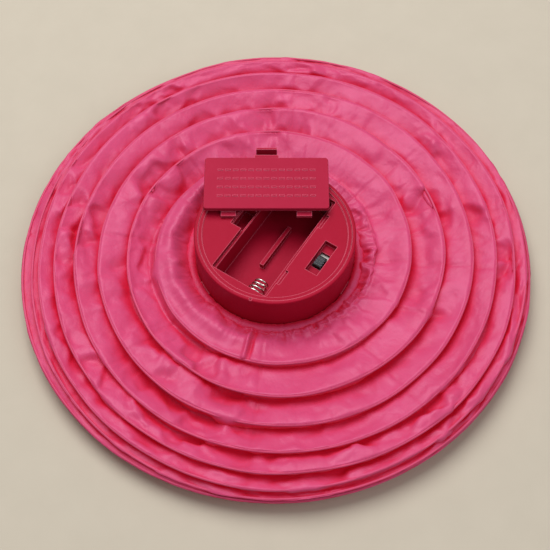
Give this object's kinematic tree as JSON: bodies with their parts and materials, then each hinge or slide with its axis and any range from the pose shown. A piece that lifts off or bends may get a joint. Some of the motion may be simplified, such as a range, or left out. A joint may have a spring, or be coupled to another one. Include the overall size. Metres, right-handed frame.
{
  "type": "paper lantern",
  "caption": "Round folding paper lantern on a spiral wire rib, with a battery light case in its mouth and a loose battery cover.",
  "frame": {"origin": "on the lantern's axis, at the plane the folded lantern rests on", "axes": "+Z along the axis, out of the mouth that holds the light case; +X along the battery cells; +Y towards the latch notch of the battery bay"},
  "size_m": [0.201, 0.201, 0.0282],
  "materials": {
    "paper": "crinkled translucent tissue",
    "rib_wire": "thin coat over steel wire",
    "bail_wire": "plain drawn wire",
    "case_plastic": "fine satin moulding",
    "cover_plastic": "fine satin moulding",
    "screw_steel": "zinc plated",
    "switch_steel": "tin plated",
    "phenolic": "pressed laminate",
    "contact_brass": "tinned",
    "black_plastic": "satin",
    "contact_steel": "nickel plated",
    "led_epoxy": "diffusing epoxy",
    "lead_steel": "tinned",
    "resistor_body": "lacquered",
    "red_wire": "flexible insulation",
    "black_wire": "flexible insulation"
  },
  "bodies": {
    "root": {"hang_mouth_ring": "rib_wire", "paper_shade": "paper", "spiral_rib": "rib_wire"},
    "case": {"case_mouth_ring": "rib_wire", "case_drum": "case_plastic", "tray_plate": "case_plastic", "case_screws": "screw_steel", "switch_shell": "switch_steel", "switch_base": "phenolic", "switch_terminals": "contact_brass", "negative_plate": "contact_steel", "negative_spring": "contact_steel", "positive_plate": "contact_steel", "bridge_plate": "contact_steel", "bridge_spring": "contact_steel", "led_lens": "led_epoxy", "led_leads": "lead_steel", "resistor": "resistor_body", "resistor_leads": "lead_steel", "wire_anode": "red_wire", "wire_link": "red_wire", "wire_red": "red_wire", "wire_black": "black_wire"},
    "bail": {"hanger_bail": "bail_wire"},
    "knob": {"switch_knob": "black_plastic"},
    "cover": {"battery_cover": "cover_plastic"}
  },
  "joints": [
    {"name": "lantern_expand", "type": "slide", "parent": "root", "child": "case", "axis": [0, 0, 1], "range_m": [0, 0.18], "deforming": ["paper_shade", "spiral_rib"]},
    {"name": "bail_fold", "type": "hinge", "parent": "root", "child": "bail", "pos_m": [0, 0, 0.0022], "axis": [1, 0, 0], "range_deg": [0, 95]},
    {"name": "switch_slide", "type": "slide", "parent": "case", "child": "knob", "axis": [1, 0, 0], "range_m": [0, 0.002]},
    {"name": "cover_lift", "type": "slide", "parent": "case", "child": "cover", "axis": [0, 0, 1], "range_m": [0, 0.06]}
  ]
}
